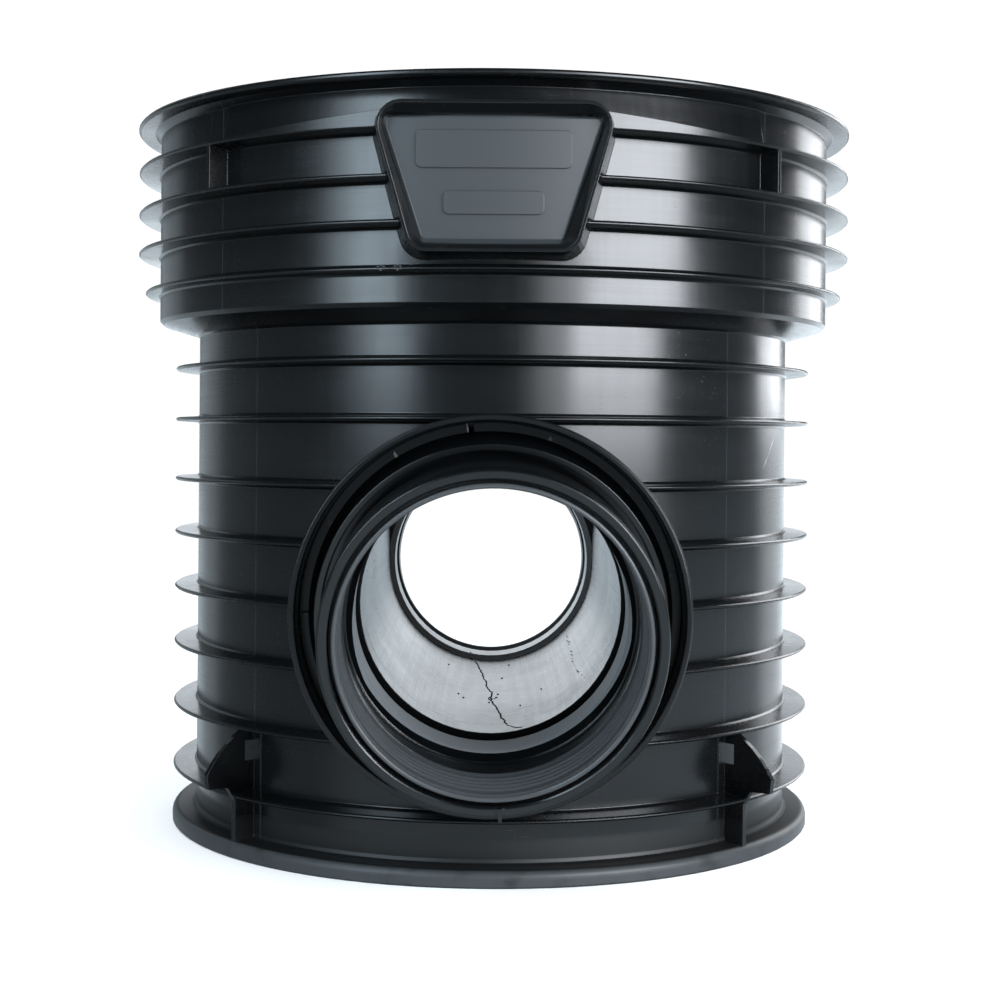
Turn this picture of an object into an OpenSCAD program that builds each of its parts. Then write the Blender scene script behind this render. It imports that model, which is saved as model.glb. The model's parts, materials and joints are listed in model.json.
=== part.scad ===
// Drain inspection chamber: the base of a plastic manhole.
// One moulding carries the riser socket, the ribbed shaft, the flow channel and two ball
// housings, and each housing holds a pipe socket that swivels about its ball centre.
// Millimetres, +Z up, origin at the centre of the base, pipes along Y, name plate at -Y.

/* [Shaft] */
// Outer radius of the shaft wall
shaft_r = 201.5; // [196:0.5:206]
// Thickness of the shaft wall
shaft_wall = 5; // [4:0.5:7]
// Height at which the shaft meets the riser socket
shaft_top = 325.5; // [318:0.5:330]
// Reach of the shaft ribs past the wall
shaft_rib_reach = 15.5; // [12:0.5:20]
// Thickness of a rib at its edge
rib_tip = 2.4; // [2:0.1:3.2]
// Thickness of a rib at its root
rib_root = 4; // [3.4:0.1:5]
// Reach of the base flange past the wall
flange_reach = 15.8; // [12:0.1:20]
// Thickness of the base flange
flange_t = 10.3; // [8:0.1:13]
// Rounding of the flange's upper edge
flange_round = 5; // [2:0.5:6]

/* [Riser socket] */
// Height of the riser socket above the shaft
socket_h = 138.5; // [130:0.5:150]
// Bore radius of the riser socket
riser_r = 223; // [221:0.5:225]
// Wall of the riser socket
riser_wall = 5; // [4:0.5:7]
// Reach of the riser socket's ribs past its wall
riser_rib_reach = 14.3; // [10:0.1:18]
// Reach of the lowest, smaller rib
low_rib_reach = 9.7; // [7:0.1:14]
// Reach of the top lip
lip_reach = 14.8; // [10:0.1:18]
// Thickness of the top lip
lip_t = 3.8; // [3:0.1:6]
// How far the top bay leans out over its lowest rib, in front and at the back
bay_lean = 5; // [2:0.5:8]
// Height of the web on the top rib where it meets the name plate
web_rise = 9; // [4:0.5:11]
// Rise of the sloping shelf from the shaft to the socket
shelf_rise = 7; // [5:0.5:9]

/* [Name plate] */
// Drop from the chamber's top to the plate's top edge
plate_drop = 18; // [12:0.5:20]
// Height of the plate
plate_h = 84.5; // [76:0.5:88]
// Width along the top edge
plate_w = 141; // [130:0.5:150]
// Width along the bottom edge
plate_w_low = 94; // [80:0.5:104]
// Distance of the plate's face from the riser's wall
plate_stand = 16; // [14:0.5:20]
// Depth of the tray
plate_depth = 7; // [4:0.5:9]
// Width of the raised rim
plate_rim = 1.8; // [1.2:0.1:3]
// Corner radius at the top
plate_corner = 14; // [12:0.5:18]
// How far the recess's sides slope in
plate_slope = 6; // [3:0.5:7]
// How far the plate's outer sides flare out towards the wall
plate_draft = 5; // [2:0.5:7]
// Height of the blank panels on the plate's floor
panel_rise = 1.2; // [0.8:0.1:2]

/* [Lugs and gussets] */
// Angle of the lifting lugs from the pipes' axis, in degrees
lug_turn = 46.5; // [44:0.5:50]
// Thickness of a lug
lug_t = 3.5; // [2.5:0.5:5]
// Reach of a lug's tip past the shaft's wall
lug_reach = 34.5; // [26:0.5:39]
// Height of the step under the lug's fin
lug_step = 43.5; // [41:0.5:46]
// Bottom of the slot in a lug
slot_low = 58; // [54:0.5:62]
// Width of the slot
slot_w = 7; // [5:0.5:9]
// Height of the slot
slot_h = 13; // [9:0.5:15]
// Angle of the riser's gussets from the pipes' axis, in degrees
gusset_turn = 45.2; // [43:0.1:49]
// Thickness of a gusset
gusset_t = 2.6; // [2:0.2:4]

/* [Flow channel] */
// Height of the pipe axis
axis_z = 161.4; // [158:0.1:165]
// Radius of the channel between the housings
channel_r = 80; // [78:0.5:82]
// Radius of the waterway through the housings
waterway_r = 76.3; // [74:0.1:77.5]
// Wall of the channel and the benching
channel_wall = 5; // [4:0.5:7]
// Height of the benching beside the channel
bench_low = 221; // [210:1:230]
// Height of the benching at the shaft wall
bench_high = 252; // [240:1:262]
// Thickness of the webs under the benching
web_t = 4; // [3:0.5:6]
// Distance of the cross webs from the middle
web_y = 60; // [40:5:90]

/* [Ball housings] */
// Distance of a ball centre from the chamber's axis
pivot_y = 224; // [222:0.5:228]
// Radius of the ball
ball_r = 103; // [102:0.1:103.5]
// Reach of the collar past the ball
collar_reach = 6.7; // [6.2:0.1:10]
// Reach of the collar past the ball centre
collar_front = 46.6; // [44:0.1:50]
// Thickness of the collar at its mouth
collar_wall = 4; // [3.4:0.1:5]
// Running clearance at the ball
run_gap = 0.3; // [0.2:0.05:0.5]
// Thickness of the ball seal
seal_t = 2.7; // [2:0.1:2.9]
// Half width of the ball seal
seal_half = 5.8; // [4:0.1:6.2]

/* [Pipe sockets] */
// Bore radius of the pipe seat
pipe_r = 80.4; // [80:0.1:81]
// Reach of a pipe socket past its ball centre
socket_front = 94; // [90:0.5:98]
// Reach of the socket's mouth past the pipe seat
mouth_reach = 10.8; // [10:0.1:12]
// Wall of the tube behind the mouth
tube_wall = 5.6; // [4:0.1:7]
// Thickness of the ball's shell
ball_wall = 5.5; // [4:0.5:7]
// Where the front socket droops to, in degrees
front_droop = 6; // [-7:0.5:7]
// Where the front socket turns to, in degrees
front_turn = 1; // [-7:0.5:7]
// Where the rear socket droops to, in degrees
rear_droop = 6; // [-7:0.5:7]
// Where the rear socket turns to, in degrees
rear_turn = 0; // [-7:0.5:7]

/* [Hidden] */
$fn = 120;
eps = 0.01;
// Heights of the rib centres
shaft_ribs = [38, 80, 120.5, 157.5, 194, 229.5, 269, 303];
riser_ribs = [for (h = [27.5, 53.5, 79.5, 107.5]) shaft_top + h];
total_h = shaft_top + socket_h;
plate_top = total_h - plate_drop;
rib_fillet = 1.2;
// Where the turned housings start their turn, clear of the ribs they meet
seam = 40;
edge = 0.9;
riser_floor = shaft_top + shelf_rise + riser_wall + 1;
shaft_bore = shaft_r - shaft_wall;
riser_out = riser_r + riser_wall;
shaft_rib_r = shaft_r + shaft_rib_reach;
flange_r = shaft_r + flange_reach;
lug_r = shaft_r + lug_reach;
riser_rib_r = riser_out + riser_rib_reach;
riser_low_rib_r = riser_out + low_rib_reach;
lip_r = riser_out + lip_reach;
plate_y = riser_out + plate_stand;
plate_floor = plate_y - plate_depth;
panel_corner = 3;
// Width, height and drop below the plate's top of each blank panel
panels = [[plate_w * 0.62, 21, 16], [plate_w * 0.40, 13, 50]];
// Profile of a lug: its knee and nose at the step, its tip, and the fin's root and bulge
lug_knee = 8.5;
lug_nose = 5.5;
lug_tip = 9.5;
lug_root = 7.5;
lug_bulge = 2.4;
// Fine ridge beside each lug
ridge_turn = lug_turn - 2.3;
ridge_t = 1.2;
ridge_h = 0.6;
// Housing stations, measured outwards from the ball centre
groove_half = 20;
seat_back = -48;
wall_back = -59;
tube_back = -31;
cone_start = -22;
back_r = ball_r - 5.5;
collar_r = ball_r + collar_reach;
waterway_wall = 4.2;
seat_sphere = ball_r + run_gap;
groove_sphere = ball_r + 2 * run_gap + seal_t;
collar_bore = collar_r - collar_wall;
// Retaining ring
ring_back = groove_half + 0.2;
ring_front = 26;
ring_bead = 1.1;
ring_split = 3;
ring_inner = ball_r - 4.4;
ring_tab_r = ball_r - 3;
ring_tab_w = 1.2;
ring_tab_h = 3;
ring_tab_first = 25.3;
ring_tab_step = 29.3;
ring_split_at = -6.5;
ring_tabs = 6;
// Pipe socket stations, measured outwards from the ball centre
ball_back = -27;
ball_front = 34;
throat_back = 3;
throat_front = 24;
seat_start = 33;
disc_back = 22;
disc_front = 27;
mouth_r = pipe_r + mouth_reach;
tube_r = pipe_r + tube_wall;
mouth_back = 50;
ball_hollow_r = ball_r - 9.2;
cap_back = 86;
cap_skirt = 4.5;
skirt_t = 1.3;
seal_pocket_r = mouth_r - 4.2;
fit = 0.2;

module black_plastic() color([0.10, 0.11, 0.12]) children();
module black_rubber() color([0.16, 0.16, 0.17]) children();

// Outline points of one rib on a wall of radius r0, reaching r1, centred at height z
function rib(r0, r1, z) = [
    [r0, z - rib_root / 2 - rib_fillet],
    [r0 + rib_fillet, z - rib_root / 2],
    [r1 - edge, z - rib_tip / 2],
    [r1, z - rib_tip / 2 + edge],
    [r1, z + rib_tip / 2 - edge],
    [r1 - edge, z + rib_tip / 2],
    [r0 + rib_fillet, z + rib_root / 2],
    [r0, z + rib_root / 2 + rib_fillet]];

function arc(cx, cy, r, a0, a1, n) =
    [for (i = [0:n]) let (a = a0 + (a1 - a0) * i / n) [cx + r * cos(a), cy + r * sin(a)]];

// Corners of an outline rounded with one radius each; the outline runs anticlockwise
function unit(v) = v / norm(v);
function rounded(pts, radii, n) = [
    for (i = [0:len(pts) - 1])
        let (p = pts[i],
             a = unit(pts[(i + len(pts) - 1) % len(pts)] - p),
             b = unit(pts[(i + 1) % len(pts)] - p),
             half = acos(a * b) / 2,
             c = p + unit(a + b) * radii[i] / sin(half),
             t0 = p + a * radii[i] / tan(half) - c,
             start = atan2(t0[1], t0[0]),
             sweep = 180 - 2 * half)
            for (k = [0:n]) c + radii[i] * [cos(start + sweep * k / n), sin(start + sweep * k / n)]];

// The turned outline of shaft and riser socket: outside upwards, then inside downwards
module shaft_and_riser() {
    fl = flange_round;
    outside = concat(
        [[flange_r - 1, 0], [flange_r, 1]],
        arc(flange_r - fl, flange_t - fl, fl, 0, 90, 6),
        [[shaft_r + 2.6, flange_t], [shaft_r + 0.7, flange_t + 0.8], [shaft_r, flange_t + 2.8]],
        [for (z = shaft_ribs) each rib(shaft_r, shaft_rib_r, z)],
        [[shaft_r, shaft_top - 1.5], [shaft_r + 1.5, shaft_top]],
        [[riser_out - 2.5, shaft_top + shelf_rise - 0.4], [riser_out, shaft_top + shelf_rise + 2.2]],
        [for (z = riser_ribs)
            each rib(riser_out, z == riser_ribs[0] ? riser_low_rib_r : riser_rib_r, z)],
        [[riser_out, total_h - lip_t - 4], [riser_out + 4, total_h - lip_t],
         [lip_r - 1.3, total_h - lip_t], [lip_r, total_h - lip_t + 1.3],
         [lip_r, total_h - 1.3], [lip_r - 1.3, total_h]]);
    inside = [
        [riser_r + 3, total_h], [riser_r, total_h - 7],
        [riser_r, riser_floor], [shaft_bore + 1.5, riser_floor - shelf_rise],
        [shaft_bore, riser_floor - shelf_rise - 1.5], [shaft_bore, 0]];
    rotate_extrude($fn = 180) polygon(concat(outside, inside));
}

// Everything measured from a ball centre: local +Z points out of the chamber
module at_ball(side, droop = 0, turn = 0)
    rotate([0, 0, side == "front" ? 0 : 180])
        translate([0, -pivot_y, axis_z])
            rotate([0, 0, turn])
                rotate([90 + droop, 0, 0])
                    children();

// A slab of the local axis between two stations
module slab(z0, z1, r) translate([0, 0, z0]) cylinder(r = r, h = z1 - z0);

module ball_slice(r, z0, z1) intersection() {
    sphere(r = r, $fn = 160);
    slab(z0, z1, r + 5);
}

module housing() rotate_extrude() polygon([
    [0, wall_back], [back_r, wall_back], [collar_r, cone_start],
    [collar_r, collar_front - edge], [collar_r - edge, collar_front],
    [0, collar_front]]);

module housing_cavity() {
    difference() {
        ball_slice(seat_sphere, seat_back, -groove_half + eps);
        slab(wall_back, tube_back, waterway_r + waterway_wall);
    }
    ball_slice(groove_sphere, -groove_half, groove_half + eps);
    slab(groove_half, collar_front - edge + eps, collar_bore);
    // Chamfered mouth and the groove that the retaining ring snaps into
    translate([0, 0, collar_front - edge])
        cylinder(r1 = collar_bore, r2 = collar_bore + 2 * edge, h = 2 * edge);
    slab(ring_back + 2, ring_back + 4.4, collar_bore + ring_bead + 0.3);
    slab(wall_back - 1, 0, waterway_r);
}

module along_y(length) rotate([90, 0, 0])
    linear_extrude(height = length, center = true) children();

channel_end = pivot_y + wall_back;

module channel_outer() along_y(2 * channel_end + 10) {
    translate([0, axis_z]) circle(r = channel_r + channel_wall);
    translate([-channel_r - channel_wall, axis_z])
        square([2 * (channel_r + channel_wall), bench_low - axis_z]);
}

module channel_inner() along_y(2 * channel_end) {
    translate([0, axis_z]) circle(r = channel_r);
    translate([-channel_r, axis_z]) square([2 * channel_r, total_h - axis_z]);
}

// Section of the benching, down to the given depth or, for a web, to the foot
module bench_section(depth, foot) {
    x1 = channel_r + channel_wall / 2;
    x2 = shaft_bore + 2;
    polygon([[-x2, bench_high], [-x1, bench_low], [x1, bench_low], [x2, bench_high],
             [x2, foot ? 0 : bench_high - depth], [x1, foot ? 0 : bench_low - depth],
             [-x1, foot ? 0 : bench_low - depth], [-x2, foot ? 0 : bench_high - depth]]);
}

module benching() intersection() {
    cylinder(r = shaft_bore + 1.5, h = total_h);
    union() {
        along_y(2 * shaft_r) bench_section(channel_wall, false);
        for (y = [-web_y, web_y])
            translate([0, y, 0]) along_y(web_t) bench_section(0, true);
        intersection() {
            translate([-web_t / 2, -shaft_r, 0]) cube([web_t, 2 * shaft_r, bench_high]);
            along_y(2 * shaft_r) bench_section(0, true);
        }
    }
}

// Everything within an angle either side of the name plate's middle, as seen from above
module sector(half_turn) linear_extrude(height = total_h)
    polygon([[0, 0], [-lip_r * tan(half_turn), -lip_r], [lip_r * tan(half_turn), -lip_r]]);

// Leaning wall of the top bay, between the mould's parting planes
module leaning_bay() intersection() {
    sector(ridge_turn);
    rotate_extrude($fn = 180) polygon([
        [riser_out - 1, riser_ribs[3]], [riser_out + bay_lean, riser_ribs[3]],
        [riser_out + 0.2, total_h - lip_t - 2], [riser_out - 1, total_h - lip_t - 2]]);
}

// Webs on the top rib's edge, which rise to the name plate's upper corners
module rib_webs() intersection() {
    difference() {
        cylinder(r = riser_rib_r, h = total_h, $fn = 180);
        cylinder(r = riser_rib_r - rib_tip, h = total_h, $fn = 180);
    }
    z = riser_ribs[3];
    far = riser_rib_r * sin(ridge_turn);
    near = plate_w / 2 - plate_corner / 2;
    facing(0, lip_r) polygon([[-far, z], [far, z], [near, z + web_rise], [-near, z + web_rise]]);
}

// Outline of the name plate, seen from the front
function plate_outline(inset) =
    let (w1 = plate_w / 2 - inset, w2 = plate_w_low / 2 - inset * 0.9,
         z1 = plate_top - inset, z0 = plate_top - plate_h + inset)
    rounded([[-w2, z0], [w2, z0], [w1, z1], [-w1, z1]],
            [plate_corner - 2 - inset, plate_corner - 2 - inset,
             plate_corner - inset, plate_corner - inset], 6);

// Extrudes an outline in X and Z between two distances in front of the axis
module facing(y0, y1) translate([0, -y0, 0]) rotate([90, 0, 0])
    linear_extrude(height = y1 - y0) children();

// A blank raised panel on the plate's floor: its width, height and drop below the plate's top
module blank_panel(w, h, drop) {
    z = plate_top - drop;
    facing(plate_floor - 1, plate_floor + panel_rise)
        polygon(rounded([[-w / 2, z - h], [w / 2, z - h], [w / 2, z], [-w / 2, z]],
                        [panel_corner, panel_corner, panel_corner, panel_corner], 4));
}

// Block of the name plate, with flaring sides
module name_plate() hull() {
    facing(riser_r - 12, riser_r - 11) polygon(plate_outline(-plate_draft));
    facing(plate_y - 1, plate_y) polygon(plate_outline(0));
}

// Recess of the name plate: it leaves a thin rim, sloping sides and a flat floor
module name_recess() hull() {
    facing(plate_floor, plate_floor + 0.1) polygon(plate_outline(plate_rim + plate_slope));
    facing(plate_y, plate_y + 1) polygon(plate_outline(plate_rim));
}

// A flat plate standing on a radius: its outline is given as radius and height
module radial_plate(azimuth, t) rotate([0, 0, azimuth - 90]) rotate([90, 0, 0])
    linear_extrude(height = t, center = true) children();

// Fin of a lug, from its tip up to its root under the second rib
function fin_curve(tip, root, bulge) =
    let (mid = (tip + root) / 2, side = unit([tip[1] - root[1], root[0] - tip[0]]), top = mid - 2 * bulge * side)
    [for (t = [0:0.2:1]) (1 - t) * (1 - t) * tip + 2 * t * (1 - t) * top + t * t * root];

module lifting_lug(azimuth) radial_plate(azimuth, lug_t) difference() {
    foot = shaft_rib_r - 1.5;
    polygon(concat(
        [[shaft_r - 1, flange_t - 3], [foot, flange_t - 3], [foot, lug_step - lug_knee],
         [foot + lug_nose, lug_step], [lug_r - 1, lug_step + edge]],
        fin_curve([lug_r, lug_step + lug_tip], [shaft_r + lug_root, shaft_ribs[1] - rib_tip / 2], lug_bulge),
        [[shaft_r - 1, shaft_ribs[1]]]));
    translate([shaft_r - 2, slot_low]) square([slot_w + 2, slot_h]);
}

module riser_gusset(azimuth) radial_plate(azimuth, gusset_t)
    translate([riser_out - 1, riser_ribs[2]])
        square([riser_rib_r - riser_out, riser_ribs[3] - riser_ribs[2]]);

// Fine ridge beside each lug, where the mould's side cores meet
module parting_ridge(azimuth) radial_plate(azimuth, ridge_t)
    translate([shaft_r - 1, flange_t]) square([1 + ridge_h, shaft_ribs[1] - flange_t]);

module chamber_body() black_plastic() difference() {
    union() {
        difference() {
            union() {
                shaft_and_riser();
                rib_webs();
                difference() {
                    name_plate();
                    cylinder(r = riser_r + 1, h = total_h);
                }
            }
            name_recess();
        }
        for (p = panels) blank_panel(p[0], p[1], p[2]);
        for (a = [0, 180]) rotate([0, 0, a]) leaning_bay();
        channel_outer();
        benching();
        for (side = ["front", "rear"]) at_ball(side) rotate([0, 0, seam]) housing();
        for (a = [0, 180], s = [-1, 1]) {
            lifting_lug(a + s * lug_turn);
            riser_gusset(a + s * gusset_turn);
            parting_ridge(a + s * ridge_turn);
        }
    }
    channel_inner();
    for (side = ["front", "rear"]) at_ball(side) rotate([0, 0, seam]) housing_cavity();
}

module ball_seal(side, turn) black_rubber() at_ball(side, 0, turn) difference() {
    ball_slice(ball_r + run_gap + seal_t, -seal_half, seal_half);
    sphere(r = ball_r + run_gap, $fn = 160);
}

module retaining_ring(side) black_plastic() at_ball(side) difference() {
    union() {
        slab(ring_back, ring_front, collar_bore - fit);
        slab(ring_back + 2.2, ring_back + 4.2, collar_bore + ring_bead);
        for (k = [0:ring_tabs - 1], s = [-1, 1])
            rotate([0, 0, -ring_split_at + 90 + s * (ring_tab_first + ring_tab_step * k)])
                translate([ring_tab_r, -ring_tab_w / 2, ring_front - 1]) cube([3.4, ring_tab_w, 1 + ring_tab_h]);
    }
    sphere(r = ball_r + run_gap, $fn = 160);
    slab(ring_back - 1, ring_front + ring_tab_h + 1, ring_inner);
    rotate([0, 0, -ring_split_at + 90]) translate([90, -ring_split / 2, 0]) cube([30, ring_split, 40]);
}

module pipe_socket(side, droop, turn) black_plastic() at_ball(side, droop, turn) difference() {
    union() {
        ball_slice(ball_r, ball_back, ball_front);
        slab(disc_back, mouth_back, tube_r);
        translate([0, 0, mouth_back - 5]) cylinder(r1 = tube_r, r2 = mouth_r - 0.4, h = 5);
        slab(mouth_back, cap_back, mouth_r - 0.4);
    }
    // Hollow ball, open to the back, around the throat
    difference() {
        ball_slice(ball_r - ball_wall, ball_back - 1, disc_back);
        slab(throat_back, disc_back + 1, waterway_r + waterway_wall);
    }
    // Pocket in front of the disc
    difference() {
        slab(disc_front, ball_front + 1, ball_hollow_r);
        slab(disc_front - 1, ball_front + 2, tube_r);
    }
    slab(throat_back - 1, throat_front + eps, waterway_r);
    translate([0, 0, throat_front]) cylinder(r1 = waterway_r, r2 = pipe_r - 0.6,
                                             h = seat_start - throat_front);
    slab(seat_start - eps, cap_back + 1, pipe_r);
    slab(mouth_back + 1, cap_back + 1, seal_pocket_r);
}

module pipe_seal(side, droop, turn) {
    back = mouth_back + 1;
    front = socket_front - 0.6;
    ridges = 4;
    pitch = 6;
    first = back + 9;
    black_rubber() at_ball(side, droop, turn) rotate_extrude() polygon(concat(
        [[seal_pocket_r - fit, back], [seal_pocket_r - fit, cap_back - cap_skirt - fit],
         [seal_pocket_r - skirt_t - 2 * fit, cap_back - cap_skirt - fit],
         [seal_pocket_r - skirt_t - 2 * fit, cap_back],
         [pipe_r + 3.2, cap_back + 1], [pipe_r + 3.2, front - 1.4]],
        arc(pipe_r + 1.8, front - 1.4, 1.4, 0, 180, 6),
        [[pipe_r + 0.4, front - 4], [pipe_r + 1.2, front - 8]],
        [for (k = [ridges - 1:-1:0])
            each [[pipe_r + 1.2, first + k * pitch + 1.6], [pipe_r + 0.3, first + k * pitch + 0.4],
                  [pipe_r + 0.3, first + k * pitch - 0.4], [pipe_r + 1.2, first + k * pitch - 1.6]]],
        [[pipe_r + 1.2, back + 3], [pipe_r + 0.4, back]]));
}

module seal_cap(side, droop, turn) {
    inner = seal_pocket_r - skirt_t - fit;
    black_plastic() at_ball(side, droop, turn) {
        rotate_extrude() polygon([
            [inner, cap_back - cap_skirt], [seal_pocket_r - fit, cap_back - cap_skirt],
            [seal_pocket_r - fit, cap_back], [mouth_r, cap_back],
            [mouth_r, socket_front - 1], [mouth_r - 1, socket_front],
            [inner + 1, socket_front], [inner, socket_front - 1]]);
        // Small pointer at the foot of the mouth
        rotate([0, 0, 2.6]) translate([0, 0, cap_back + 3])
            linear_extrude(height = socket_front - cap_back - 2.4)
                polygon([[-2.1, -inner - 0.6], [-0.7, -mouth_r - 3], [0.7, -mouth_r - 3], [2.1, -inner - 0.6]]);
    }
}

chamber_body();
ball_seal("front", front_turn);  // front_ball_seal
retaining_ring("front");  // front_retaining_ring
pipe_socket("front", front_droop, front_turn);  // front_pipe_socket
pipe_seal("front", front_droop, front_turn);  // front_pipe_seal
seal_cap("front", front_droop, front_turn);  // front_seal_cap
ball_seal("rear", rear_turn);  // rear_ball_seal
retaining_ring("rear");  // rear_retaining_ring
pipe_socket("rear", rear_droop, rear_turn);  // rear_pipe_socket
pipe_seal("rear", rear_droop, rear_turn);  // rear_pipe_seal
seal_cap("rear", rear_droop, rear_turn);  // rear_seal_cap
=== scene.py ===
"""Looks of a drain inspection chamber base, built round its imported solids."""

from __future__ import annotations

import json
import logging
import math
from dataclasses import dataclass, field
from enum import Enum
from random import Random
from typing import Any, Union

import bmesh
import bpy
from mathutils import Matrix, Vector

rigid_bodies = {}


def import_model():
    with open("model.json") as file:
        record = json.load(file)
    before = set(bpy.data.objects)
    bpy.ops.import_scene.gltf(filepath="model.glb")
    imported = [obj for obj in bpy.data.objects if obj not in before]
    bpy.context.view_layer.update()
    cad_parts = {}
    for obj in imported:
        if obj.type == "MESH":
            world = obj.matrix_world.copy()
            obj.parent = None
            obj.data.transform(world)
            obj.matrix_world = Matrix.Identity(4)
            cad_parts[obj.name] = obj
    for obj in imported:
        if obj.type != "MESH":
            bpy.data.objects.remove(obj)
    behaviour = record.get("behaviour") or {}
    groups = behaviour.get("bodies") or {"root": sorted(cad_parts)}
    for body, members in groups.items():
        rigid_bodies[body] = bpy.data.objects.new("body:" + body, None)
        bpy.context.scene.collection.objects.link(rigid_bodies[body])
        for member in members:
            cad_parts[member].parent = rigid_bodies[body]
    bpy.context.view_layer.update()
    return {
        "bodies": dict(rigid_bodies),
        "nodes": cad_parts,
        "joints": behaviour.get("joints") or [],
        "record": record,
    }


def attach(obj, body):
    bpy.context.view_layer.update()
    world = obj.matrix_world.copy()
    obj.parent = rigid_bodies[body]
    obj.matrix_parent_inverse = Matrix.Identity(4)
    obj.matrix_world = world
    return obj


LOG = logging.getLogger("chamber")
MM = 0.001
Number = Union[int, float]
Triple = tuple[float, float, float]


class Value:
    """A float socket with arithmetic: an expression on values adds its Math nodes."""

    def __init__(self, graph: "Graph", socket: Any) -> None:
        """Wraps one socket of a graph's node."""
        self.graph = graph
        self.socket = socket

    def math(self, operation: str, *others: "Value | Number", first: "Value | Number | None" = None
             ) -> "Value":
        """Adds one Math node.

        Args:
            operation: the node's operation.
            others: its further inputs.
            first: its first input, if that isn't this value.

        Returns:
            The node's output.
        """
        head = self if first is None else first
        inputs = dict(enumerate((head, *others)))
        return self.graph.node("ShaderNodeMath", {"operation": operation}, inputs)

    def __add__(self, other: "Value | Number") -> "Value":
        """self + other."""
        return self.math("ADD", other)

    def __radd__(self, other: Number) -> "Value":
        """other + self."""
        return self.math("ADD", other)

    def __sub__(self, other: "Value | Number") -> "Value":
        """self - other."""
        return self.math("SUBTRACT", other)

    def __rsub__(self, other: Number) -> "Value":
        """other - self."""
        return self.math("SUBTRACT", self, first=other)

    def __mul__(self, other: "Value | Number") -> "Value":
        """self * other."""
        return self.math("MULTIPLY", other)

    def __rmul__(self, other: Number) -> "Value":
        """other * self."""
        return self.math("MULTIPLY", other)

    def __pow__(self, other: "Value | Number") -> "Value":
        """self ** other."""
        return self.math("POWER", other)

    def __rpow__(self, other: Number) -> "Value":
        """other ** self."""
        return self.math("POWER", self, first=other)

    def __abs__(self) -> "Value":
        """Size without its sign."""
        return self.math("ABSOLUTE")

    def highest(self, other: "Value | Number") -> "Value":
        """The higher of the two."""
        return self.math("MAXIMUM", other)

    def ramp(self, low: float, high: float) -> "Value":
        """Smooth step: 0 at low and 1 at high, or the other way round when low > high."""
        flip = low > high
        start, stop = (high, low) if flip else (low, high)
        inputs = {"Value": self, "From Min": start, "From Max": stop}
        out = self.graph.node("ShaderNodeMapRange", {"interpolation_type": "SMOOTHSTEP"}, inputs)
        return 1 - out if flip else out


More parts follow.
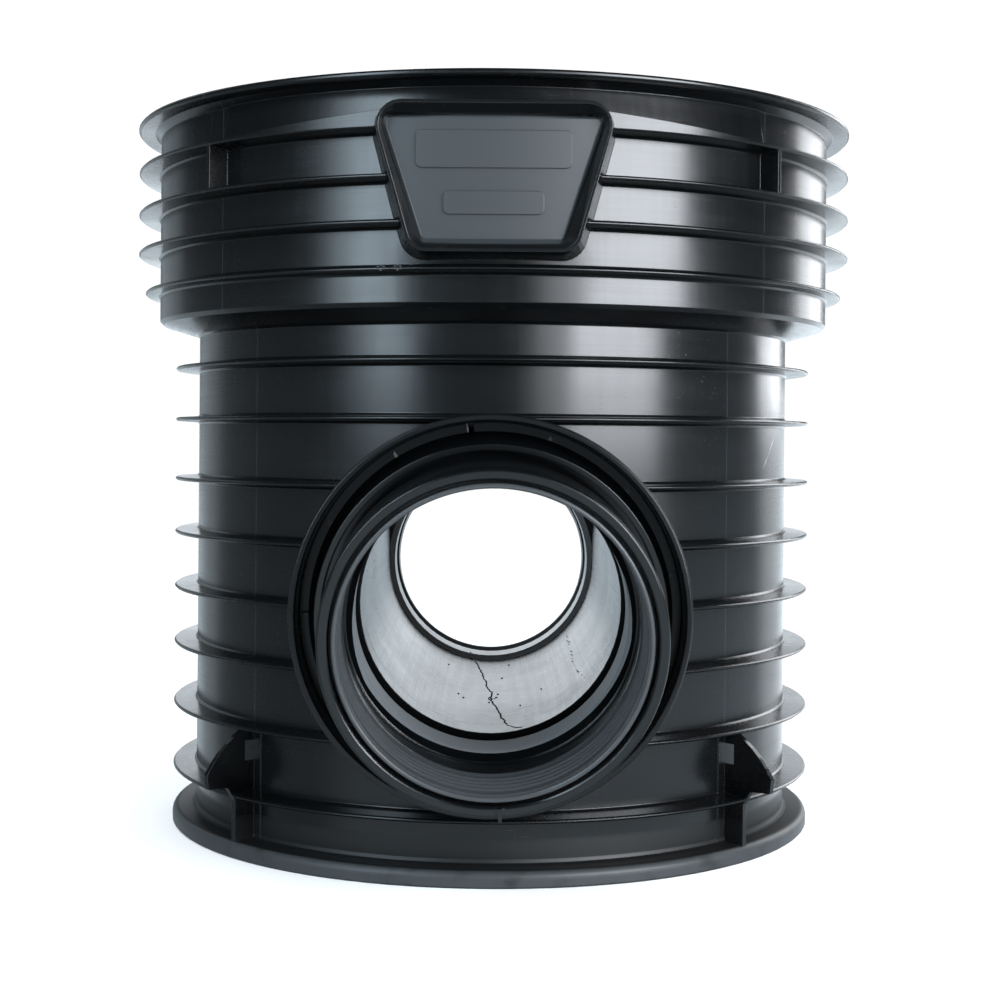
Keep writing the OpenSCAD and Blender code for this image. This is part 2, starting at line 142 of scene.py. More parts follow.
class Graph:
    """The node tree of one material or world."""

    BEVEL_SAMPLES = 6
    EDGE_BAND = (0.02, 0.3)

    def __init__(self, owner: "bpy.types.Material | bpy.types.World") -> None:
        """Starts an empty tree.

        Args:
            owner: the material or world that the tree is for.
        """
        self.owner = owner
        owner.use_nodes = True
        self.tree = owner.node_tree
        self.tree.nodes.clear()
        self._place: Any = None

    def add(self, kind: str, settings: dict[str, Any], inputs: dict[Any, Any]) -> Any:
        """Adds any node.

        Args:
            kind: the node's type.
            settings: its own settings, set before the sockets.
            inputs: a number, tuple, Value or socket for each input, by name or place.

        Returns:
            The new node.
        """
        node = self.tree.nodes.new(kind)
        for key, value in settings.items():
            setattr(node, key, value)
        for key, value in inputs.items():
            socket = node.inputs[key]
            if isinstance(value, Value):
                self.tree.links.new(value.socket, socket)
            elif isinstance(value, bpy.types.NodeSocket):
                self.tree.links.new(value, socket)
            else:
                socket.default_value = value
        return node

    def node(self, kind: str, settings: dict[str, Any], inputs: dict[Any, Any],
             output: Any = 0) -> Value:
        """Adds any node and returns one of its outputs as a Value."""
        return Value(self, self.add(kind, settings, inputs).outputs[output])

    @property
    def place(self) -> Any:
        """The object coordinates, in metres, as a socket."""
        if self._place is None:
            self._place = self.add("ShaderNodeTexCoord", {}, {}).outputs["Object"]
        return self._place

    def stretched(self, scale: Triple, turn: Triple = (0, 0, 0)) -> Any:
        """The object coordinates with a scale along each axis, as a socket."""
        inputs = {"Vector": self.place, "Scale": scale, "Rotation": turn}
        return self.add("ShaderNodeMapping", {"vector_type": "POINT"}, inputs).outputs[0]

    def axes(self, vector: Any = None) -> tuple[Value, Value, Value]:
        """X, Y and Z of a vector, or of the object coordinates."""
        split = self.add("ShaderNodeSeparateXYZ", {}, {0: vector or self.place})
        return tuple(Value(self, out) for out in split.outputs)

    def noise(self, scale: float, detail: float = 2.0, rough: float = 0.5, vector: Any = None) -> Value:
        """A noise between 0 and 1 on the object coordinates."""
        inputs = {"Vector": vector or self.place, "Scale": scale, "Detail": detail, "Roughness": rough}
        return self.node("ShaderNodeTexNoise", {}, inputs)

    def blend(self, factor: Value | Number, low: Any, high: Any) -> Any:
        """A colour that goes from low to high with factor, as a socket."""
        node = self.add("ShaderNodeMix", {"data_type": "RGBA"}, {0: factor})
        for place, colour in ((6, low), (7, high)):
            if isinstance(colour, bpy.types.NodeSocket):
                self.tree.links.new(colour, node.inputs[place])
            else:
                node.inputs[place].default_value = (*colour, 1)
        return node.outputs[2]

    def edges(self, radius: float) -> tuple[Any, Value]:
        """The normal of edges rounded by a radius, and how strongly an edge turns it, from 0 to 1."""
        bevel = self.add("ShaderNodeBevel", {"samples": self.BEVEL_SAMPLES}, {"Radius": radius})
        flat = self.add("ShaderNodeNewGeometry", {}, {})
        inputs = {0: bevel.outputs[0], 1: flat.outputs["Normal"]}
        same = self.node("ShaderNodeVectorMath", {"operation": "DOT_PRODUCT"}, inputs, "Value")
        return bevel.outputs[0], (1 - same).ramp(*self.EDGE_BAND)

    def bump(self, height: Value, distance: float, strength: float, normal: Any = None) -> Any:
        """A bumped normal, as a socket."""
        inputs: dict[Any, Any] = {"Height": height, "Distance": distance, "Strength": strength}
        if normal is not None:
            inputs["Normal"] = normal
        return self.add("ShaderNodeBump", {}, inputs).outputs[0]

    def surface(self, colour: Any, rough: Any, normal: Any, fixed: dict[str, Any]) -> bpy.types.Material:
        """Ends the material in a Principled shader.

        Args:
            colour: base colour, as a socket or three numbers.
            rough: roughness, as a Value or a number.
            normal: the normal, as a socket.
            fixed: values that are the same all over.

        Returns:
            The material.
        """
        base = colour if isinstance(colour, bpy.types.NodeSocket) else (*colour, 1)
        inputs = {"Base Color": base, "Roughness": rough, "Normal": normal, **fixed}
        shader = self.add("ShaderNodeBsdfPrincipled", {}, inputs)
        self.add("ShaderNodeOutputMaterial", {}, {0: shader.outputs[0]})
        return self.owner


@dataclass(frozen=True)
class Grain:
    """A noise on a finish: its scale, detail and roughness, its stretch and turn, and its band.

    The band holds the two noise values between which a patch fades in.
    """

    scale: float
    detail: float = 2.0
    rough: float = 0.5
    stretch: Triple | None = None
    turn: Triple = (0, 0, 0)
    band: tuple[float, float] = (0.0, 1.0)

    def over(self, graph: Graph) -> Value:
        """The noise itself, between 0 and 1."""
        vector = None if self.stretch is None else graph.stretched(self.stretch, self.turn)
        return graph.noise(self.scale, self.detail, self.rough, vector)

    def patches(self, graph: Graph) -> Value:
        """0 below the band and 1 above it."""
        return self.over(graph).ramp(*self.band)


CLOUDS = Grain(9, 3, 0.55)
FLOW = Grain(1, 4, 0.6, (14, 14, 55))
UPRIGHT_STREAKS = Grain(1, 3, 0.6, (230, 230, 5))
LEVEL_STREAKS = Grain(1, 2, 0.6, (5, 5, 800))
FINE_PEEL = Grain(420)
BROAD_PEEL = Grain(95)
EDGE_DULLING = Grain(60, 3, band=(0.35, 0.7))
EDGE_WEAR = Grain(75, 4, 0.65, band=(0.4, 0.68))
DUST = Grain(30, 5, 0.7, band=(0.5, 0.85))
STEEP_SCRATCHES = Grain(1, 1, 0.5, (900, 900, 14), (0.35, 0.1, 0), (0.715, 0.76))
FLAT_SCRATCHES = Grain(1, 1, 0.5, (18, 700, 700), (0.1, 0.5, 0.3), (0.715, 0.76))
SCRATCHED = Grain(16, 3, 0.6, band=(0.55, 0.72))
RIM_REFLECTION_PATCHES = Grain(55, 4, 0.6, band=(0.1, 0.5))
BLOOM = Grain(35, 4, 0.6, band=(0.4, 0.75))
RUBBER_SKIN = Grain(600)
FLOOR_SHADE = Grain(3)


class Gloss(Enum):
    """How smooth the mould left a part."""

    SATIN = 0.25
    POLISHED = 0.155
    RUBBER = 0.42


@dataclass(frozen=True)
class Field:
    """A matte field on the plate: its middle, its half sizes and how far its sides lean, in metres."""

    middle: Triple
    half: Triple
    lean: float = 0.33
    fade: float = 3.5 * MM
    depth_fade: float = 1 * MM
    bulge_radius: float = 0.36
    rough: float = 0.45
    colour: Triple = (0.019, 0.023, 0.0255)

    def mask(self, graph: Graph) -> Value:
        """1 in the field and 0 outside, with soft sides."""
        across, along, height = (axis - middle for axis, middle in zip(graph.axes(), self.middle))
        wide, deep, tall = self.half
        side = (abs(across) - height * self.lean).ramp(wide, wide - self.fade)
        level = abs(along).ramp(deep, deep - self.depth_fade)
        return side * level * abs(height).ramp(tall, tall - self.fade)

    def bulge(self, graph: Graph) -> Value:
        """The field's slight round across, as a height in metres."""
        across = graph.axes()[0] - self.middle[0]
        return across * across * (-0.5 / self.bulge_radius)


@dataclass(frozen=True)
class Foot:
    """The base flange: rougher at its foot, with a painted reflection in lighter grey round its rim; sizes
    in metres.
    """

    rim_r: float = 0.2135
    rim_top: float = 0.0102
    rim_fade: float = 1 * MM
    dull_top: float = 0.030
    fade: float = 8 * MM
    rough: float = 0.5
    # Colour of the painted reflection on the rim.
    colour: Triple = (0.026, 0.030, 0.033)

    def rim(self, graph: Graph) -> Value:
        """1 on the flange's outer band, where the painted reflection goes, and 0 off it."""
        across, along, height = graph.axes()
        starts, ends = ((self.rim_r + soft) ** 2 for soft in (-self.rim_fade, self.rim_fade))
        out = (across * across + along * along).ramp(starts, ends)
        return out * height.ramp(self.rim_top, self.rim_top - self.rim_fade) * RIM_REFLECTION_PATCHES.patches(graph)

    def dull(self, graph: Graph) -> Value:
        """1 on the flange and at the wall's foot, 0 above."""
        return graph.axes()[2].ramp(self.dull_top, self.dull_top - self.fade)


@dataclass(frozen=True)
class PaintedLightRing:
    """A ring round the waterway, painted lighter grey as a painted highlight where light falls on the
    pipe's step and throat, and made rougher, at both pipes; sizes in metres.
    """

    starts: float
    ends: float
    colour: Triple
    rough: float
    radius: float = 0.0806
    axis_z: float = 0.1614
    fade: float = 0.3 * MM

    def mask(self, graph: Graph) -> Value:
        """1 on the ring and 0 off it."""
        across, along, height = graph.axes()
        rise = height - self.axis_z
        near = (across * across + rise * rise).ramp((self.radius + self.fade) ** 2, self.radius ** 2)
        out = abs(along)
        begun = near * out.ramp(self.starts - self.fade, self.starts)
        return begun * out.ramp(self.ends + self.fade, self.ends)


@dataclass(frozen=True)
class Scratch:
    """A straight scratch between two points, in metres."""

    start: Triple
    end: Triple
    width: float = 0.45 * MM
    core: float = 0.3
    fade_in: float = 0.25
    fade_out: float = 0.7

    def mask(self, graph: Graph) -> Value:
        """1 on the scratch and 0 off it."""
        length2 = sum((b - a) ** 2 for a, b in zip(self.start, self.end))
        along: Value | Number = 0.0
        reach2: Value | Number = 0.0
        for axis, a, b in zip(graph.axes(), self.start, self.end):
            step = axis - a
            along = step * ((b - a) / length2) + along
            reach2 = step * step + reach2
        off2 = (reach2 - along * along * length2).highest(0.0)
        ends = along.ramp(0.0, self.fade_in) * along.ramp(1.0, self.fade_out)
        return (off2 ** 0.5).ramp(self.width, self.width * self.core) * ends


@dataclass(frozen=True)
class Seam:
    """The fine lines of the mould's four parting planes, at an angle from the pipes' axis."""

    turn: float
    width: float = 0.45 * MM
    core: float = 0.3
    inner_r: float = 0.196
    outer_r: float = 0.199
    foot: float = 0.081
    foot_fade: float = 3 * MM

    def mask(self, graph: Graph) -> Value:
        """1 on the lines and 0 off them."""
        across, along, height = graph.axes()
        turn = math.radians(self.turn)
        off = abs(abs(across) * math.cos(turn) - abs(along) * math.sin(turn))
        outside = (across * across + along * along).ramp(self.inner_r ** 2, self.outer_r ** 2)
        line = off.ramp(self.width, self.width * self.core)
        return line * outside * height.ramp(self.foot, self.foot + self.foot_fade)


@dataclass(frozen=True)
class Moulded:
    """Black moulded polypropylene: satin, with fine orange peel, flow marks and rubbed edges."""

    name: str
    colour: Triple = (0.0016, 0.0021, 0.0025)
    gloss: Gloss = Gloss.SATIN
    edge_radius: float = 0.7 * MM
    edge_colour: Triple = (0.020, 0.024, 0.027)
    peel: float = 0.18
    peel_depth: float = 0.08 * MM
    wear: float = 0.5
    haze: float = 0.085
    cloud_share: float = 2.0
    streak_share: float = 1.7
    scratches: float = 1.0
    rub_light: float = 0.55
    rub_rough: float = 0.18
    edge_rough: float = 0.12
    dust_share: float = 0.35
    dust_gain: float = 1.9
    shine: float = 0.5
    seam_light: float = 0.7
    streak_mix: float = 0.5
    relief: Triple = (0.35, 0.5, 0.3)
    ior: float = 1.5
    mark_colour: Triple = (0.34, 0.38, 0.40)
    mark_rough: float = 0.25
    seam: Seam | None = None
    marks: tuple[Scratch, ...] = ()
    matte_field: Field | None = None
    foot_with_painted_rim: Foot | None = None
    painted_light_ring: PaintedLightRing | None = None

    def material(self) -> bpy.types.Material:
        """Builds the finish."""
        graph = Graph(bpy.data.materials.new(self.name))
        normal, edge = graph.edges(self.edge_radius)
        rub = self._rubs(graph)
        streak = UPRIGHT_STREAKS.over(graph) * (1 - self.streak_mix)
        streak = LEVEL_STREAKS.over(graph) * self.streak_mix + streak
        dulled = edge * EDGE_DULLING.patches(graph)
        rough = self.gloss.value + (CLOUDS.over(graph) - 0.5) * self.haze * self.cloud_share
        rough = rough + (FLOW.over(graph) - 0.5) * self.haze
        rough = rough + (streak - 0.5) * self.haze * self.streak_share
        rough = rough + rub * self.rub_rough + dulled * self.edge_rough
        dusty = tuple(self.dust_gain * c for c in self.colour)
        colour = graph.blend(DUST.patches(graph) * self.dust_share, self.colour, dusty)
        zones: list[tuple[Value, Triple | None, float]] = []
        if self.matte_field is not None:
            zones.append((self.matte_field.mask(graph), self.matte_field.colour, self.matte_field.rough))
        # Painted reflection: the flange's outer band is painted lighter grey in patches, standing in for
        # the table mirrored in it. The flange and the wall's foot are also made rougher.
        if self.foot_with_painted_rim is not None:
            colour = graph.blend(self.foot_with_painted_rim.rim(graph), colour, self.foot_with_painted_rim.colour)
            zones.append((self.foot_with_painted_rim.dull(graph), None, self.foot_with_painted_rim.rough))
        # Painted light: a ring of lighter grey where light falls on the step and the throat of the
        # waterway.
        if self.painted_light_ring is not None:
            zones.append((self.painted_light_ring.mask(graph), self.painted_light_ring.colour, self.painted_light_ring.rough))
        for zone, zone_colour, zone_rough in zones:
            rough = rough.highest(zone * zone_rough)
            if zone_colour is not None:
                colour = graph.blend(zone, colour, zone_colour)
        light = (edge * EDGE_WEAR.patches(graph) * self.wear).highest(rub * self.rub_light)
        if self.seam is not None:
            light = light.highest(self.seam.mask(graph) * self.seam_light)
        colour = graph.blend(light, colour, self.edge_colour)
        for mark in self.marks:
            scored = mark.mask(graph)
            colour = graph.blend(scored, colour, self.mark_colour)
            rough = rough + scored * self.mark_rough
        fine, broad, drawn = self.relief
        height = FINE_PEEL.over(graph) * fine + BROAD_PEEL.over(graph) * broad + streak * drawn
        bumped = graph.bump(height, self.peel_depth, self.peel, normal)
        if self.matte_field is not None:
            bulge = self.matte_field.mask(graph) * self.matte_field.bulge(graph)
            bumped = graph.bump(bulge, 1.0, 1.0, bumped)
        return graph.surface(colour, rough, bumped, {"IOR": self.ior, "Specular IOR Level": self.shine})

    def _rubs(self, graph: Graph) -> Value:
        """Fine handling scratches in two directions, as a mask."""
        lines = STEEP_SCRATCHES.patches(graph).highest(FLAT_SCRATCHES.patches(graph))
        return lines * SCRATCHED.patches(graph) * self.scratches


@dataclass(frozen=True)
class Rubber:
    """Black seal rubber: soft sheen and a faint bloom."""

    name: str
    colour: Triple = (0.012, 0.0128, 0.0138)
    bloom: float = 0.5
    rough: float = Gloss.RUBBER.value
    shine: float = 0.5
    edge_radius: float = 0.5 * MM
    edge_bloom: float = 0.4
    bloom_colour: Triple = (0.03, 0.032, 0.034)
    bloom_rough: float = 0.12
    skin_depth: float = 0.05 * MM
    skin: float = 0.15
    ior: float = 1.48

    def material(self) -> bpy.types.Material:
        """Builds the finish."""
        graph = Graph(bpy.data.materials.new(self.name))
        normal, edge = graph.edges(self.edge_radius)
        bloom = BLOOM.patches(graph)
        pale = (bloom + edge * self.edge_bloom) * self.bloom
        colour = graph.blend(pale, self.colour, self.bloom_colour)
        rough = self.rough + (bloom - 0.5) * self.bloom_rough
        bumped = graph.bump(RUBBER_SKIN.over(graph), self.skin_depth, self.skin, normal)
        return graph.surface(colour, rough, bumped, {"IOR": self.ior, "Specular IOR Level": self.shine})


class Mark:
    """One mesh of small marks, which bmesh operators make."""

    STRAND_SIDES = 6
    SPECK_LEVELS = 2

    def __init__(self, name: str, finish: bpy.types.Material) -> None:
        """Starts an empty mesh.

        Args:
            name: the object's name.
            finish: its material.
        """
        self.name = name
        self.finish = finish
        self.form = bmesh.new()

    def strand(self, path: list[Vector], width: float, tall: float) -> None:
        """Adds a flat strand along a path that runs mostly along Y."""
        upright = Matrix.Rotation(math.radians(90), 4, "X")
        section = Matrix.Diagonal((width / 2, 1, tall / 2, 1)) @ upright
        start = Matrix.Translation(path[0]) @ section
        ring = bmesh.ops.create_circle(
            self.form, cap_ends=True, radius=1, segments=self.STRAND_SIDES, matrix=start)["verts"]
        edges = list({edge for vert in ring for edge in vert.link_edges})
        for here, there in zip(path, path[1:]):
            made = bmesh.ops.extrude_edge_only(self.form, edges=edges)["geom"]
            verts = [item for item in made if isinstance(item, bmesh.types.BMVert)]
            edges = [item for item in made if isinstance(item, bmesh.types.BMEdge)]
            bmesh.ops.translate(self.form, verts=verts, vec=there - here)
        bmesh.ops.holes_fill(self.form, edges=edges, sides=self.STRAND_SIDES)

    def speck(self, spot: Vector, size: Vector) -> None:
        """Adds a flattened grain, with its sizes along X, Y and Z."""
        place = Matrix.Translation(spot) @ Matrix.Diagonal((*size, 1))
        bmesh.ops.create_icosphere(self.form, subdivisions=self.SPECK_LEVELS, radius=0.5, matrix=place)

    def hang(self, body: str) -> bpy.types.Object:
        """Ends the mesh and hangs it on a body.

        Args:
            body: the body that it moves with.

        Returns:
            The object, at the origin.
        """
        bmesh.ops.recalc_face_normals(self.form, faces=self.form.faces)
        mesh = bpy.data.meshes.new(self.name)
        self.form.to_mesh(mesh)
        self.form.free()
        mesh.materials.append(self.finish)
        mesh.shade_smooth()
        piece = bpy.data.objects.new(self.name, mesh)
        bpy.context.scene.collection.objects.link(piece)
        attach(piece, body)
        return piece


@dataclass(frozen=True)
class ChannelMarks:
    """The hairline crack and the dark specks on the channel's floor.

    Points are X and Y in mm, and dot_shape is a dot's size along X, Y and Z for each mm of its width.
    """

    channel_r: float = 80.0
    throat_r: float = 76.3
    throat_starts: float = 165.0
    axis_z: float = 161.4
    seed: int = 7
    step: float = 3.2
    stray: float = 0.75
    crack_width: float = 1.05
    branch_width: float = 0.7
    crack_tall: float = 0.36
    speck_width: tuple[float, float] = (1.2, 2.0)
    speck_long: float = 2.6
    speck_tall: float = 0.6
    dot_width: tuple[float, float] = (0.4, 1.6)
    dot_shape: Triple = (0.8, 1.8, 0.8)
    dot_stray: float = 0.7
    dots_at: Triple = (0.0, 0.36, 0.7)
    crack: tuple[tuple[float, float], ...] = (
        (-11.6, 148.7), (-9.5, 131.9), (-6.8, 97.7), (-4.8, 64.3), (-3.0, 47.9), (-1.7, 12.4),
        (1.7, -12.4), (0.6, -28.4), (0.9, -42.6), (3.3, -67.0), (5.3, -87.8), (7.2, -114.1),
        (10.5, -144.4))
    hook: tuple[tuple[float, float], ...] = (
        (10.3, -166.4), (13.6, -177.0), (15.9, -182.2), (19.0, -185.9))
    branches: tuple[tuple[tuple[float, float], ...], ...] = (
        ((0.9, -42.6), (2.4, -38.1), (3.6, -36.5)),
        ((0.6, -28.4), (-0.6, -34.0), (-0.5, -40.0), (0.9, -42.6)),
        ((-15.2, 163.0), (-13.9, 153.0)))
    specks: tuple[tuple[float, float], ...] = (
        (-21.3, -34.1), (-17.8, -46.0), (8.8, 58.5), (4.4, -32.6), (5.5, -18.5), (-0.5, -53.1),
        (34.6, -44.2), (19.9, -81.4), (-31.2, 88.4), (14.6, 124.6), (-15.6, 169.2))
    dotted: tuple[tuple[float, float], ...] = (
        (59.1, 121.3), (58.3, 91.2), (57.8, 66.0), (56.9, 7.9), (57.2, -32.8), (57.4, -62.6),
        (58.3, -85.3), (59.9, -131.2))

    def point(self, x: float, y: float, lift: float = 0.12) -> Vector:
        """The place on the channel above X and Y, lifted a little."""
        reach = (self.throat_r if abs(y) > self.throat_starts else self.channel_r) - lift
        return Vector((x, y, self.axis_z - math.sqrt(reach * reach - x * x))) * MM

    def jagged(self, path: tuple[tuple[float, float], ...], chance: Random) -> list[Vector]:
        """A path with small sideways steps between its points."""
        points = []
        for (x0, y0), (x1, y1) in zip(path, path[1:]):
            steps = max(2, round(abs(y1 - y0) / self.step))
            for step in range(steps):
                t = step / steps
                stray = 0.0 if step == 0 else chance.uniform(-self.stray, self.stray)
                points.append(self.point(x0 + (x1 - x0) * t + stray, y0 + (y1 - y0) * t))
        points.append(self.point(*path[-1]))
        return points

    def build(self) -> None:
        """Makes the crack and the specks."""
        chance = Random(self.seed)
        dark = Rubber("crack_shade", (0.0012, 0.0014, 0.0016), 0.0, 0.9, 0.0).material()
        crack = Mark("channel_crack", dark)
        crack.strand(self.jagged(self.crack, chance), self.crack_width * MM, self.crack_tall * MM)
        for branch in (self.hook, *self.branches):
            crack.strand(self.jagged(branch, chance), self.branch_width * MM, self.crack_tall * MM)
        crack.hang("chamber")
        specks = Mark("channel_specks", dark)
        for x, y in self.specks:
            wide = chance.uniform(*self.speck_width)
            specks.speck(self.point(x, y), Vector((wide, wide * self.speck_long, self.speck_tall)) * MM)
        for (x0, y0), (x1, y1) in zip(self.dotted, self.dotted[1:]):
            for t in self.dots_at:
                stray = chance.uniform(-self.dot_stray, self.dot_stray)
                spot = self.point(x0 + (x1 - x0) * t + stray, y0 + (y1 - y0) * t)
                wide = chance.uniform(*self.dot_width) * MM
                specks.speck(spot, Vector(self.dot_shape) * wide)
        specks.hang("chamber")


@dataclass(frozen=True)
class RibFlaws:
    """Two small curled flaws that the mould left on the edge of the riser's low rib, in mm."""

    rib_r: float = 242.3
    height: float = 353.0
    turns: tuple[float, ...] = (-15.1, -12.8)
    curl: float = 1.9
    flatness: float = 0.7
    grains: int = 6
    first_grain: float = -30.0
    grain: Triple = (1.5, 0.9, 1.1)

    def build(self, finish: bpy.types.Material) -> None:
        """Makes the flaws in the body's own finish."""
        flaws = Mark("rib_flaws", finish)
        for turn in self.turns:
            for step in range(self.grains):
                bend = math.radians(360 / self.grains * step + self.first_grain)
                at = math.radians(turn) + self.curl * math.cos(bend) / self.rib_r
                rise = self.curl * self.flatness * math.sin(bend)
                spot = Vector((math.sin(at) * self.rib_r, -math.cos(at) * self.rib_r, self.height + rise))
                flaws.speck(spot * MM, Vector(self.grain) * MM)
        flaws.hang("chamber")


@dataclass
class SoftBox:
    """A soft box of the studio, as an area light that the camera doesn't see."""

    name: str
    azimuth: float
    distance: float
    height: float
    width: float
    tall: float
    radiance: float
    tint: Triple = (1, 1, 1)

    def build(self) -> bpy.types.Object:
        """Makes the light and turns it to the part."""
        light = bpy.data.lights.new(self.name, "AREA")
        light.shape = "RECTANGLE"
        light.size, light.size_y = self.width, self.tall
        light.energy = self.radiance * math.pi * self.width * self.tall
        light.color = self.tint
        lamp = bpy.data.objects.new(self.name, light)
        turn = math.radians(self.azimuth)
        spot = Vector((math.sin(turn), -math.cos(turn), 0)) * self.distance
        spot.z = self.height
        lamp.location = spot
        aim = Vector((0, 0, self.height)) - spot
        lamp.rotation_euler = aim.to_track_quat("-Z", "Y").to_euler()
        lamp.visible_camera = False
        bpy.context.scene.collection.objects.link(lamp)
        return lamp


@dataclass(frozen=True)
class Glow:
    """A soft patch of the room that glossy faces mirror.

    It fades in over a band of heights and over a band of directions on the compass.
    """

    bright: float
    heights: tuple[float, float]
    way: tuple[float, float]
    spread: tuple[float, float]

    def light(self, axes: tuple[Value, Value, Value]) -> Value:
        """The patch's light over the directions."""
        across, along, height = axes
        toward = (across * self.way[0] + along * self.way[1]).ramp(*self.spread)
        return height.ramp(*self.heights) * toward * self.bright


@dataclass
class Studio:
    """Pale floor, white surround, soft boxes and the camera."""

    floor_radius: float = 9.0
    floor_colour: Triple = (0.965, 0.965, 0.965)
    floor_shade: Triple = (0.95, 0.95, 0.95)
    floor_mottle: float = 0.02
    floor_rough: float = 0.9
    floor_drop: float = 0.2 * MM
    floor_sides: int = 96
    surround: float = 1.05
    gloss_tint: Triple = (0.82, 0.96, 1.06)
    room_band: tuple[float, float] = (0.17, 0.03)
    room_light: float = 0.22
    room_dark: float = 0.05
    glows: tuple[Glow, ...] = (
        Glow(0.75, (-0.09, -0.27), (0, -1), (0.35, 0.65)),
        Glow(1.1, (-0.12, -0.25), (0.67, -0.74), (0.78, 0.98)),
        Glow(0.75, (-0.02, -0.14), (1, 0), (0.72, 0.93)),
        Glow(0.6, (0.03, -0.06), (0, 1), (0.8, 0.95)))
    distance: float = 1.1908
    eye: float = 0.2577
    focal: float = 61.36
    shift: tuple[float, float] = (0.00816, -0.0527)
    roll: float = 0.446
    sensor: float = 36.0
    clip: tuple[float, float] = (0.05, 60.0)
    lights: list[SoftBox] = field(default_factory=lambda: [
        SoftBox("soft_box_left", -39, 1.6, 1.25, 0.70, 1.82, 4.2, (0.72, 0.88, 1.0)),
        SoftBox("soft_box_left_core", -36, 1.59, 1.25, 0.40, 1.82, 5.4, (0.72, 0.88, 1.0)),
        SoftBox("soft_box_right", 44, 1.6, 0.652, 0.92, 0.776, 18.0, (0.905, 0.945, 1.0)),
        SoftBox("soft_box_right_side", 22, 1.6, 0.62, 0.42, 0.70, 4.5, (0.905, 0.945, 1.0)),
        SoftBox("rim_right", 129, 1.8, 1.0, 0.8, 1.4, 5.4, (0.93, 0.96, 1.0)),
        SoftBox("low_rim_right", 140, 1.8, -0.3, 1.3, 1.3, 1.4, (0.88, 0.95, 1.0)),
        SoftBox("rim_left", -137, 1.8, 0.4, 0.9, 3.0, 0.45, (0.8, 0.93, 1.0)),
        SoftBox("back_screen", 181, 2.0, 0.95, 1.5, 1.7, 1.5, (0.88, 0.95, 1.0)),
    ])

    def build(self) -> None:
        """Makes the whole studio."""
        self._floor()
        self._surround()
        for light in self.lights:
            light.build()
        self._camera()

    def _floor(self) -> None:
        """A flat pale floor that the part stands on."""
        mesh = bpy.data.meshes.new("floor")
        form = bmesh.new()
        bmesh.ops.create_circle(form, cap_ends=True, radius=self.floor_radius, segments=self.floor_sides)
        form.to_mesh(mesh)
        form.free()
        floor = bpy.data.objects.new("floor", mesh)
        floor.location.z = -self.floor_drop
        floor.visible_glossy = False
        bpy.context.scene.collection.objects.link(floor)
        graph = Graph(bpy.data.materials.new("pale_floor"))
        shade = FLOOR_SHADE.over(graph)
        colour = graph.blend(shade * self.floor_mottle, self.floor_colour, self.floor_shade)
        bumped = graph.bump(shade, 0.01 * MM, 0.1)
        mesh.materials.append(graph.surface(colour, self.floor_rough, bumped, {"Specular IOR Level": 0.0}))

    def _surround(self) -> None:
        """White all round; glossy faces mirror a dim room and the table before the part."""
        world = bpy.data.worlds.new("surround")
        bpy.context.scene.world = world
        graph = Graph(world)
        axes = graph.axes(graph.add("ShaderNodeTexCoord", {}, {}).outputs["Generated"])
        room = axes[2].ramp(*self.room_band) * self.room_light + self.room_dark
        for glow in self.glows:
            room = room + glow.light(axes)
        mirrored = graph.blend(room, (0, 0, 0), self.gloss_tint)
        glossy = graph.node("ShaderNodeLightPath", {}, {}, "Is Glossy Ray")
        seen = graph.blend(glossy, (self.surround,) * 3, mirrored)
        back = graph.add("ShaderNodeBackground", {}, {"Color": seen})
        graph.add("ShaderNodeOutputWorld", {}, {0: back.outputs[0]})

    def _camera(self) -> None:
        """A camera square to the front, a little above the middle of the pipes."""
        lens = bpy.data.cameras.new("camera")
        lens.lens = self.focal
        lens.sensor_width = self.sensor
        lens.shift_x, lens.shift_y = self.shift
        lens.clip_start, lens.clip_end = self.clip
        camera = bpy.data.objects.new("camera", lens)
        camera.location = (0, -self.distance, self.eye)
        level = Matrix.Rotation(math.radians(90), 3, "X")
        camera.rotation_euler = (level @ Matrix.Rotation(math.radians(self.roll), 3, "Z")).to_euler()
        bpy.context.scene.collection.objects.link(camera)
        bpy.context.scene.camera = camera


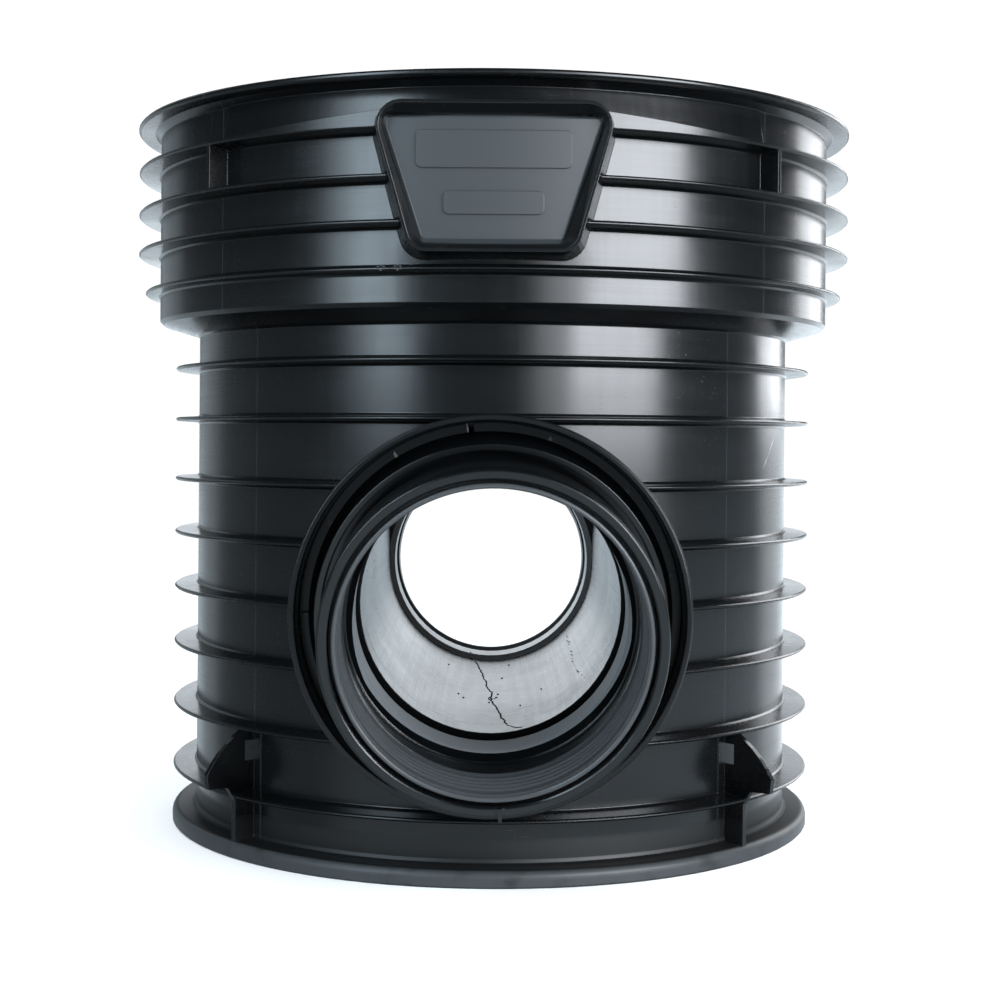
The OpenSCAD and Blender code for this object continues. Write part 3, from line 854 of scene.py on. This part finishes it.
@dataclass
class Chamber:
    """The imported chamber: its solids take their finishes."""

    frame: dict[str, Any]
    body: Moulded = Moulded(
        "chamber_plastic",
        seam=Seam(46.0),
        marks=(Scratch((0.1676, -0.1118, 0.3277), (0.1842, -0.0818, 0.3154)),
               Scratch((0.1655, -0.1150, 0.3368), (0.1735, -0.1025, 0.3330)),
               Scratch((0.1838, -0.0826, 0.2606), (0.1728, -0.1036, 0.2388))),
        matte_field=Field((-0.0008, -0.2375, 0.402), (0.0527, 0.004, 0.038)),
        # Painted reflection in lighter grey round the base flange's rim.
        foot_with_painted_rim=Foot(),
        # Painted highlight: the step face at each end of the channel is painted light grey where light
        # falls on it.
        painted_light_ring=PaintedLightRing(0.1646, 0.1654, (0.18, 0.2, 0.215), 0.5))
    socket: Moulded = Moulded(
        "socket_plastic", gloss=Gloss.POLISHED, edge_radius=0.9 * MM, haze=0.04, peel=0.1, wear=0.15,
        scratches=0.6,
        # Painted highlight: the socket's throat band is painted light grey where light from the pipe's
        # openings falls on it.
        painted_light_ring=PaintedLightRing(0.2, 0.25, (0.115, 0.13, 0.14), 0.42, radius=0.079))
    ring: Moulded = Moulded(
        "ring_plastic", gloss=Gloss.POLISHED, edge_radius=1.2 * MM, haze=0.04, wear=0.15, scratches=0.5)
    seal: Rubber = Rubber("seal_rubber", (0.030, 0.034, 0.037), rough=0.34)

    def dress(self) -> None:
        """Gives every solid the material of its slot."""
        finishes = {f.name: f.material() for f in (self.body, self.socket, self.ring, self.seal)}
        for part in self.frame["record"]["subparts"]:
            node = self.frame["nodes"][part["node"]]
            node.data.materials.clear()
            node.data.materials.append(finishes[part["material_slot"]])
            LOG.info("%s in %s", node.name, part["material_slot"])


def main() -> None:
    """Builds the scene in order."""
    logging.basicConfig(level=logging.INFO, format="%(name)s: %(message)s")
    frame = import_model()
    bpy.context.scene.view_settings.view_transform = "Standard"
    Studio().build()
    chamber = Chamber(frame)
    chamber.dress()
    ChannelMarks().build()
    RibFlaws().build(bpy.data.materials[chamber.body.name])


if __name__ == "__main__":
    main()
